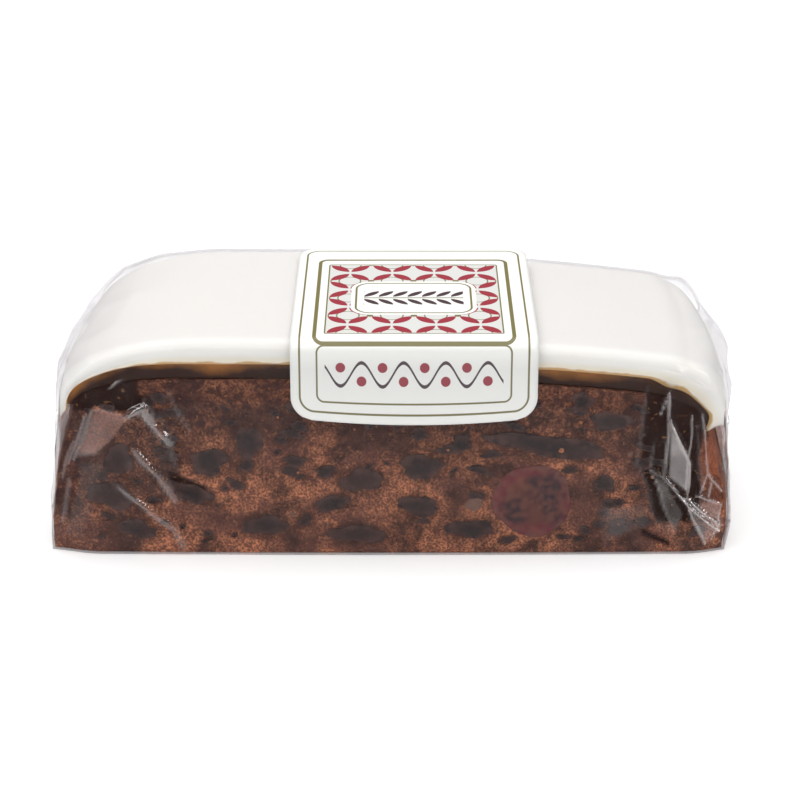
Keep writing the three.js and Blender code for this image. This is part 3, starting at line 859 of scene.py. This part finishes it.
# Folds in the film over the front face: x and z of both ends, height, half width, and how layered it is
foldLines = np.array([
    (58.9, 43.0, 57.6, 24.6, 0.5, 0.6, 0.2), (57.6, 24.6, 63.5, 7.0, 0.5, 0.6, 0.2),
    (64.4, 35.1, 70.0, 23.3, 1.19, 0.94, 0.9), (70.0, 23.3, 69.6, 14.0, 1.02, 0.72, 0.8),
    (64.3, 41.5, 64.4, 35.1, 0.77, 0.58, 1.2), (64.3, 41.5, 62.3, 36.0, 0.59, 0.5, 0.9),
    (64.4, 35.1, 63.9, 19.7, 0.77, 0.58, 0.9), (63.9, 19.7, 69.6, 13.6, 0.85, 0.65, 1.2),
    (68.2, 15.1, 77.8, 5.8, 1.36, 0.65, 2.2), (69.8, 15.0, 78.2, 7.2, 1.02, 0.5, 1.9),
    (69.6, 14.0, 75.2, 2.3, 1.02, 0.65, 1.2), (71.9, 15.6, 78.2, 13.0, 0.77, 0.58, 1.3),
    (76.5, 3.2, 78.6, 13.0, 0.68, 0.58, 0.8), (74.2, 21.2, 78.2, 16.4, 0.68, 0.5, 1.3),
    (74.2, 21.2, 72.6, 15.8, 0.68, 0.5, 0.9), (75.4, 19.6, 75.0, 14.6, 0.6, 0.6, 0.8),
    (60.7, 22.2, 63.9, 19.7, 0.68, 0.58, 0.7), (60.7, 22.2, 66.9, 6.4, 0.59, 0.58, 0.4),
    (70.0, 35.6, 69.0, 17.0, 0.85, 0.58, 0.8), (72.4, 36.0, 73.4, 27.4, 0.68, 0.5, 0.8),
    (73.4, 27.4, 74.2, 21.2, 0.68, 0.5, 0.8), (61.2, 30.0, 60.9, 22.0, 0.4, 0.6, 0.25),
    (49.5, 12.5, 51.2, 2.8, 0.3, 1.2, 0.1), (66.9, 6.4, 60.0, 12.0, 0.3, 1.2, 0.1),
    (-61.6, 36.2, -58.4, 38.5, 1.4, 1.8, 0.8),
    (-58.4, 38.5, -56.3, 33.9, 1.5, 1.9, 0.9), (-56.3, 33.9, -52.6, 28.7, 1.3, 1.8, 0.7),
    (-60.8, 27.6, -55.8, 21.2, 1.2, 1.3, 0.6), (-55.8, 21.2, -51.6, 13.7, 1.1, 1.3, 0.55),
    (-64.7, 17.8, -58.4, 12.0, 1.2, 1.5, 0.6), (-58.4, 12.0, -52.6, 6.8, 1.2, 1.5, 0.6),
    (-52.6, 6.8, -50.3, 2.0, 1.0, 1.3, 0.5), (-52.6, 42.0, -47.9, 32.2, 0.6, 0.7, 0.3),
    (-54.6, 36.0, -51.0, 22.0, 0.5, 0.8, 0.2), (-70.2, 37.7, -61.5, 35.0, 0.8, 0.8, 0.5),
    (-70.2, 37.7, -75.2, 24.6, 0.8, 0.9, 0.5), (-76.6, 23.5, -71.8, 36.5, 0.6, 0.7, 0.5),
    (-78.5, 20.0, -75.0, 30.0, 0.6, 0.7, 0.4), (-79.0, 8.0, -77.0, 20.0, 0.6, 1.0, 0.3),
    (-69.5, 45.6, -61.5, 48.6, 0.4, 0.6, 0.8), (60.5, 47.6, 70.9, 45.4, 0.4, 0.6, 0.7),
    (68.6, 44.4, 75.5, 42.0, 0.4, 0.6, 0.7), (-66.0, 42.0, -63.5, 44.6, 0.4, 0.5, 0.7),
])
# Flat facets: corners running counter-clockwise as seen from the front, height, slope width, and layers
foldSheets = [
    (((64.5, 36.6), (64.7, 19.8), (69.5, 15.8), (70.9, 22.9)), 0.7, 2.4, 1.05),
    (((60.7, 20.5), (66.9, 6.4), (69.6, 10.5), (64.2, 19.0)), 0.4, 2.0, 0.35),
    (((70.8, 35.0), (71.4, 20.0), (74.2, 14.0), (73.2, 24.0)), 0.5, 1.6, 0.16),
    (((69.6, 14.0), (75.2, 2.3), (78.6, 6.0), (78.2, 13.5)), 0.6, 2.4, 0.4),
    (((49.5, 12.5), (51.2, 2.6), (62.0, 8.0), (60.0, 14.0)), 0.3, 5.0, 0.2),
    (((-70.2, 37.7), (-75.2, 24.6), (-70.0, 25.3), (-61.5, 35.0)), 0.5, 4.0, 0.45),
    (((-74.0, 24.0), (-79.5, 4.0), (-74.0, 3.5), (-68.0, 24.0)), 0.3, 4.0, 0.12),
    (((-66.0, 36.0), (-62.0, 14.0), (-52.0, 14.0), (-50.0, 36.0)), 0.0, 5.0, 0.06),
]
endSheets = [  # the tucked ends, as y and z
    (((-25.0, 2.0), (25.0, 2.0), (9.0, 24.0), (-9.0, 24.0)), 0.5, 3.0, 0.12),
    (((-8.0, 20.0), (8.0, 20.0), (22.0, 36.0), (-22.0, 36.0)), 0.3, 3.0, 0.1),
]


def foldHeight(lines, sheets, u, v):
    # a line is height * (1 - distance to it / half width), thinner at both ends, and a sheet is a plateau
    # that slopes up from its edges; noise bends them a little and streaks the sheets
    flat = np.stack([u, v, 0 * u], -1)
    streaks = 0.72 + 0.28 * layeredNoise(flat, 6.0, 2, 77)
    u, v = u + 0.45 * softNoise(flat, 6.0, 78), v + 0.45 * softNoise(flat, 6.0, 79)
    highest = np.zeros(len(u))
    layers = np.zeros(len(u))
    for startU, startV, endU, endV, height, half, layered in lines:
        runU, runV = endU - startU, endV - startV
        share = np.clip(((u - startU) * runU + (v - startV) * runV) / (runU**2 + runV**2), 0, 1)
        thinned = half * (1 - 0.35 * np.abs(2 * share - 1))
        near = np.maximum(0, 1 - np.hypot(u - startU - share * runU, v - startV - share * runV) / thinned)
        highest = np.maximum(highest, height * near)
        layers = np.maximum(layers, layered * near)
    for corners, height, width, layered in sheets:
        inside = np.full(len(u), 99.0)
        for (fromU, fromV), (toU, toV) in zip(corners, corners[1:] + corners[:1]):
            edge = math.hypot(toU - fromU, toV - fromV)
            cross = (toU - fromU) * (v - fromV) - (toV - fromV) * (u - fromU)
            inside = np.minimum(inside, cross / edge)
        highest = np.maximum(highest, height * np.clip(inside / width, 0, 1))
        layers += layered * ramp(inside, 0, 0.3 * width) * streaks
    return highest, layers


def filmFinish():
    # see-through, tinted at grazing angles, under a mirror whose share grows with the tone, its layers
    finish, tree, shader = newFinish("FilmFinish")
    tree.nodes.remove(shader)
    grazing = addNode(tree, "ShaderNodeLayerWeight", {"Blend": 0.12}, "Facing")
    tint = blendColours(grazing, filmLook["clear"], filmLook["edge"])
    clear = addNode(tree, "ShaderNodeBsdfTransparent", {"Color": tint})
    mirror = {"Base Color": linear(*filmLook["gloss"]), "Metallic": 1.0, "Roughness": 0.08}
    gloss = addNode(tree, "ShaderNodeBsdfPrincipled", mirror)
    layers = pointTone(tree)
    cells = {"Vector": objectPlace(tree), "Scale": filmLook["crumple"], "Randomness": 1.0}
    facets = addNode(tree, "ShaderNodeTexVoronoi", cells, "Distance")
    addBump(gloss.socket.node, facets * (layers * 0.6 + 0.12), *filmLook["bump"])
    edge = addNode(tree, "ShaderNodeFresnel", {"IOR": 1.45})
    share = edge * filmLook["mirror"] * (layers * filmLook["layered"] + 1.0)
    share = calc("MINIMUM", share, filmLook["most"])
    mix = addNode(tree, "ShaderNodeMixShader", {0: share, 1: clear, 2: gloss})
    tree.links.new(mix.socket, tree.nodes["Material Output"].inputs["Surface"])
    return finish


def makeFilm():
    # as the crumb, from the floor to the film's arch; its relief is folds, creased bowls and the bulge of
    # the shoulders, and its tone is how layered it is
    a, b, c, quads = lattice(*filmLook["cells"])
    a = a * (1.35 - 0.35 * np.abs(a))  # finer towards the ends
    topX, topZ = archPoint(filmArch, a)
    y, edgeDrop = rowAt(b, bar["depth"] / 2 + filmLook["grow"], filmLook["round"])
    leftScale = filmLook["leftBase"] / filmArch["left"]
    baseX = topX * np.where(a < 0, leftScale, filmLook["rightBase"] / filmArch["right"])
    x = baseX + (topX - baseX) * c
    z = (topZ - edgeDrop) * c
    points = tuckCorners(handCut(x, y, z))
    normals = pointNormals(points, quads)
    onFront, onRear, onEnd = b == -1, b == 1, (np.abs(a) == 1) & (np.abs(b) < 1)
    fade = ramp(z, 0.2, 2.5)
    ends = ramp(np.abs(x), 46, 70) * fade
    facets = creased(x * 0.8 + z * 0.5, z * 0.9 - x * 0.3, 12.0, 71)
    small = creased(x + 0.4 * z, z * 0.8 - 0.5 * x + b * 20, 5.0, 72)
    frontHigh, frontLayers = foldHeight(foldLines, foldSheets, x, points[:, 2])
    rearHigh, rearLayers = foldHeight(foldLines, foldSheets, 2.0 - x, points[:, 2])
    endHigh, endLayers = foldHeight([], endSheets, y, z)
    relief = np.where(onFront, frontHigh, 0) + np.where(onRear, rearHigh, 0)
    relief = np.maximum(relief, (onFront | onRear) * ends * 0.7 * facets) * fade
    relief += (onFront | onRear) * (ends * 0.3 * small + 0.05 * softNoise(points, 14.0, 73))
    endFacets = creased(y * 0.9 + 5, z + 0.3 * y, 10.0, 74)
    relief += np.where(onEnd, (endHigh + 0.5 * endFacets - 0.5) * fade, 0)
    onTop = (c == 1) & ~onFront & ~onRear
    loose = creased(x, y * 0.5, 9.0, 75)
    relief += np.where(onTop, loose * 0.5 * ramp(np.abs(x), 58, 74), 0)
    shoulder = ramp(np.abs(a), 0.68, 0.8) * (1 - ramp(np.abs(a), 0.92, 1)) * (1 - ramp(np.abs(b), 0.8, 1))
    bulge = np.where(a > 0, filmLook["bulgeRight"], filmLook["bulgeLeft"])
    relief += np.where(onTop, shoulder * bulge * (0.5 + loose), 0)
    layers = np.where(onFront, frontLayers, 0) + np.where(onRear, rearLayers, 0)
    layers += np.where(onEnd, endLayers + 0.1 * endFacets, 0) + (onFront | onRear) * ends * 0.05 * small
    clinging = paintedEndShade(points, x, points[:, 2]) + ramp(np.abs(x), 74, 76) * ramp(z, 8, 14)
    clinging += 0.8 * ramp(c, 0.74, 0.8) * (1 - ramp(c, 0.9, 0.95))
    layers -= filmLook["clinging"] * (onFront | onRear) * np.clip(clinging, 0, 1)
    points += normals * relief[:, None]
    points[:, 2] = np.maximum(points[:, 2], 0)
    uv = np.stack([a, c], -1)
    return addMesh("clear_film", points, quads, uv, filmFinish(), ["film"], layers)


# Label

labelLook = {
    "cells": (56, 150, 1),
    "halfWidth": 28.0,
    "x": 4.8,
    "corner": 4.8,
    "rear": 27.5,
    "hang": 14.7,  # its straight length down the front at its sides
    "arc": 1.7,  # its lower edge bows down by this more in the middle
    "lift": 1.2,  # the lower edge stands off by this
    "paper": 0.35,
    "standOff": 0.66,  # of the solid film from the crumb's front
    "white": (255, 255, 251),
    "olive": (122, 114, 62),
    "red": (160, 30, 50),
    "pale": (226, 226, 222),
    "ink": (66, 40, 44),
    "shade": (90, 90, 96),
    "top": 33.8,  # the middle of the upper print, from the label's rear end
    "edge": (25.9, 2.0, 3.2),  # the outer line: half width, inset at the ends and corner
    "panel": (22.6, 25.4, 2.0),  # half width, half height and corner of each box
    "ground": (20.3, 22.2, 0.5),
    "plaque": (13.5, 9.5, 3.5),
    "lower": (22.0, 6.3, 1.6),
    "low": 10.6,  # the middle of the lower box, from the hanging end
    "cell": (5.075, 5.55),  # half the pattern's repeat
    "leaf": (3.1, 1.25),  # half length and half width
    "stemLeaf": (2.7, 0.85),
    "roughness": 0.35,
    "shine": 0.5,
}
labelBend = filmLook["round"] + bar["clearance"]
filmFront = bar["depth"] / 2 + labelLook["standOff"] + bar["filmWall"] + bar["frontBow"] + bar["clearance"]
labelFlat = labelLook["rear"] + filmFront - labelBend
labelTurn = labelBend * math.pi / 2
labelLength = labelFlat + labelTurn + labelLook["hang"]


def lengthOf(u, v):
    return calc("SQRT", u * u + v * v)


def boxDistance(u, v, halfU, halfV, corner):
    # distance from a rounded box's edge: length of max(|p| - half + corner, 0), less the corner
    sideU, sideV = abs(u) - (halfU - corner), abs(v) - (halfV - corner)
    outside = lengthOf(calc("MAXIMUM", sideU, 0.0), calc("MAXIMUM", sideV, 0.0))
    return outside + calc("MINIMUM", calc("MAXIMUM", sideU, sideV), 0.0) - corner


def insideMask(distance, edge=0.0):  # 1 where the distance is below the edge, with a soft border
    return addNode(distance.tree, "ShaderNodeClamp", {0: (edge - distance) * 12.0 + 0.5})


def lineMask(distance, width):  # 1 within half the width of a shape's edge
    return insideMask(abs(distance), width / 2)


def leafMask(u, v, halfLong, halfWide):  # two circles overlap in a pointed leaf that leans half way
    radius = (halfLong**2 + halfWide**2) / (2 * halfWide)
    across = abs((u - v) * 0.707) + (radius - halfWide)
    return insideMask(lengthOf(across, (u + v) * 0.707) - radius)


def labelFinish():
    finish, tree, shader = newFinish("LabelFinish")
    u, v = [part * 100.0 for part in gridParts(tree)[:2]]
    white, olive, red, pale, ink = [labelLook[name] for name in ("white", "olive", "red", "pale", "ink")]
    fromTop, fromLow = v - labelLook["top"], v - (labelLength - labelLook["low"])
    halfWide, inset, corner = labelLook["edge"]
    outer = boxDistance(u, v - labelLength / 2, halfWide, labelLength / 2 - inset, corner)
    colour = blendColours(lineMask(outer, 0.45), white, olive)
    colour = blendColours(lineMask(boxDistance(u, fromTop, *labelLook["panel"]), 0.9), colour, olive)
    ground = boxDistance(u, fromTop, *labelLook["ground"])
    colour = blendColours(insideMask(ground), colour, pale)
    # red leaves along the diagonals of mirrored cells, olive dots where they meet, and olive rings
    halfU, halfV = labelLook["cell"]
    cellU = calc("PINGPONG", u + 20 * halfU, halfU)
    cellV = calc("PINGPONG", v + 99.3, halfV)
    onGround = insideMask(ground, -0.4)
    ring = lineMask(lengthOf(cellU - halfU, cellV) - 2.6, 0.3)
    colour = blendColours(ring * onGround, colour, olive)
    leaf = leafMask(cellU - 2.65, cellV - 2.65, *labelLook["leaf"])
    colour = blendColours(leaf * onGround, colour, red)
    colour = blendColours(insideMask(lengthOf(cellU, cellV), 0.75) * onGround, colour, olive)
    colour = blendColours(lineMask(ground, 0.35), colour, olive)
    plaque = boxDistance(u, fromTop, *labelLook["plaque"])
    colour = blendColours(insideMask(plaque, 1.2), colour, white)
    colour = blendColours(lineMask(plaque, 0.5), colour, olive)
    # on the plaque a stem with pairs of leaning leaves
    onPlaque = insideMask(plaque, -1.8)
    rowU = calc("FLOORED_MODULO", u + 100.0, 3.4) - 1.7
    leaf = leafMask(rowU, abs(fromTop) - 2.5, *labelLook["stemLeaf"])
    colour = blendColours(leaf * onPlaque, colour, ink)
    colour = blendColours(lineMask(fromTop, 0.5) * onPlaque, colour, olive)
    # in the lower box a waved stem with a berry in each bend
    lower = boxDistance(u, fromLow, *labelLook["lower"])
    colour = blendColours(lineMask(lower, 0.4), colour, olive)
    inLower = insideMask(lower, -1.8)
    wave = calc("SINE", u * 0.66)
    colour = blendColours(lineMask(fromLow - wave * 2.6, 0.8) * inLower, colour, ink)
    bendU = calc("PINGPONG", u + 188.02, 2.38)
    berry = insideMask(lengthOf(bendU, fromLow * calc("SIGN", wave) + 1.5), 1.1)
    colour = blendColours(berry * inLower, colour, red)
    # painted shade: the hanging part is a little greyer, most of all just under the bend
    bent = between(v, labelFlat, labelFlat + 1.6 * labelTurn)
    paintedShadeDepth = between(v, labelFlat + labelTurn, labelLength, 0.32, 0.2)
    dress(shader, blendColours(bent * paintedShadeDepth, colour, labelLook["shade"]), labelLook)
    return finish


def makeLabel():
    # the path runs flat to the front edge, turns down a quarter circle, and hangs, lifting off by a square
    # law of the distance that it hangs
    a, b, c, quads = lattice(*labelLook["cells"])
    plain = (1 - b) / 2 * labelLength
    inCorner = np.maximum(0, labelLook["corner"] - np.minimum(plain, labelLength - plain))
    rounding = np.sqrt(np.maximum(0, labelLook["corner"] ** 2 - inCorner**2))
    x = a * (labelLook["halfWidth"] - labelLook["corner"] + rounding)
    hung = np.maximum(0, plain - labelFlat - labelTurn) / labelLook["hang"]
    s = plain + labelLook["arc"] * (1 - (x / labelLook["halfWidth"]) ** 2) * hung
    turn = np.clip((s - labelFlat) / labelTurn, 0, 1) * 0.5 * np.pi
    down = np.maximum(0, s - labelFlat - labelTurn)
    lift = labelLook["lift"] * (down / labelLook["hang"]) ** 2
    y = labelLook["rear"] - np.minimum(s, labelFlat) - labelBend * np.sin(turn) - lift
    z = filmArch["top"] + bar["clearance"] - labelBend * (1 - np.cos(turn)) - down
    out = c * labelLook["paper"]
    points = np.stack([labelLook["x"] + x, y - np.sin(turn) * out, z + np.cos(turn) * out], -1)
    uv = np.stack([x, plain], -1) / 100
    return addMesh("paper_label", points, quads, uv, labelFinish(), ["label"])


makeCrumb()
makeFruit()
makeMarzipan()
makeIcing()
makeFilm()
makeLabel()

# Floor, light and camera

studio = {
    "aim": (1.6, -30.25, 39.0),
    "distance": 502.0,
    "elevation": 24.0,
    "lens": 99.0,
    "world": 0.33,
    "sun": 2.8,
    "sunAngle": 80,  # soft, in degrees
    "sunTurn": (4, -3, 0),
    "floor": (244, 244, 244),
    "floorGlow": 0.2,
    "boxes": (  # name, place and size in metres, and power
        ("rightBox", (0.55, -0.55, 0.4), (0.14, 0.6), 2.8),
        ("leftBox", (-0.6, -0.5, 0.4), (0.14, 0.6), 1.2),
        ("frontBox", (-0.1, -0.7, 0.6), (0.7, 0.12), 1.4),
    ),
}


def makeStage():
    points, quads = latticeSheet((-2000, -2000, -0.1), (4000, 0, 0), (0, 4000, 0), 1, 1)
    mesh = bpy.data.meshes.new("floor")
    mesh.from_pydata((points * metre).tolist(), [], quads.tolist())
    floor = bpy.data.objects.new("floor", mesh)
    bpy.context.scene.collection.objects.link(floor)
    finish, _, shader = newFinish("FloorFinish")
    shader.inputs["Base Color"].default_value = linear(*studio["floor"])
    shader.inputs["Roughness"].default_value = 0.8
    shader.inputs["Emission Color"].default_value = (1, 1, 1, 1)
    shader.inputs["Emission Strength"].default_value = studio["floorGlow"]
    mesh.materials.append(finish)


def addLamp(name, place, size, power):  # a soft box that looks at the bar, seen as shine only
    light = bpy.data.lights.new(name, "AREA")
    light.shape = "RECTANGLE"
    light.size, light.size_y = size
    light.energy = power
    lamp = bpy.data.objects.new(name, light)
    lamp.location = place
    lamp.rotation_euler = (Vector((0, 0, 0.03)) - Vector(place)).to_track_quat("-Z", "Y").to_euler()
    lamp.visible_diffuse = False
    bpy.context.scene.collection.objects.link(lamp)


def makeCamera():
    # the camera stands back from its aim along the line of sight, looking along +Y and down
    tilt = math.radians(studio["elevation"])
    aim = Vector(studio["aim"]) * metre
    back = Vector((0, -math.cos(tilt), math.sin(tilt)))
    camera = bpy.data.objects.new("Camera", bpy.data.cameras.new("Camera"))
    camera.data.lens = studio["lens"]
    camera.location = aim + back * studio["distance"] * metre
    camera.rotation_euler = (-back).to_track_quat("-Z", "Y").to_euler()
    bpy.context.scene.collection.objects.link(camera)
    bpy.context.scene.camera = camera


makeStage()
world = bpy.data.worlds.new("Studio")
bpy.context.scene.world = world
world.use_nodes = True
world.node_tree.nodes["Background"].inputs["Color"].default_value = (1, 1, 1, 1)
world.node_tree.nodes["Background"].inputs["Strength"].default_value = studio["world"]
sun = bpy.data.lights.new("sun", "SUN")
sun.energy = studio["sun"]
sun.angle = math.radians(studio["sunAngle"])
sunLamp = bpy.data.objects.new("sun", sun)
sunLamp.rotation_euler = [math.radians(turn) for turn in studio["sunTurn"]]
bpy.context.scene.collection.objects.link(sunLamp)
for name, place, size, power in studio["boxes"]:
    addLamp(name, place, size, power)
makeCamera()
bpy.context.scene.view_settings.view_transform = "Standard"
print("stage, lights and camera set")
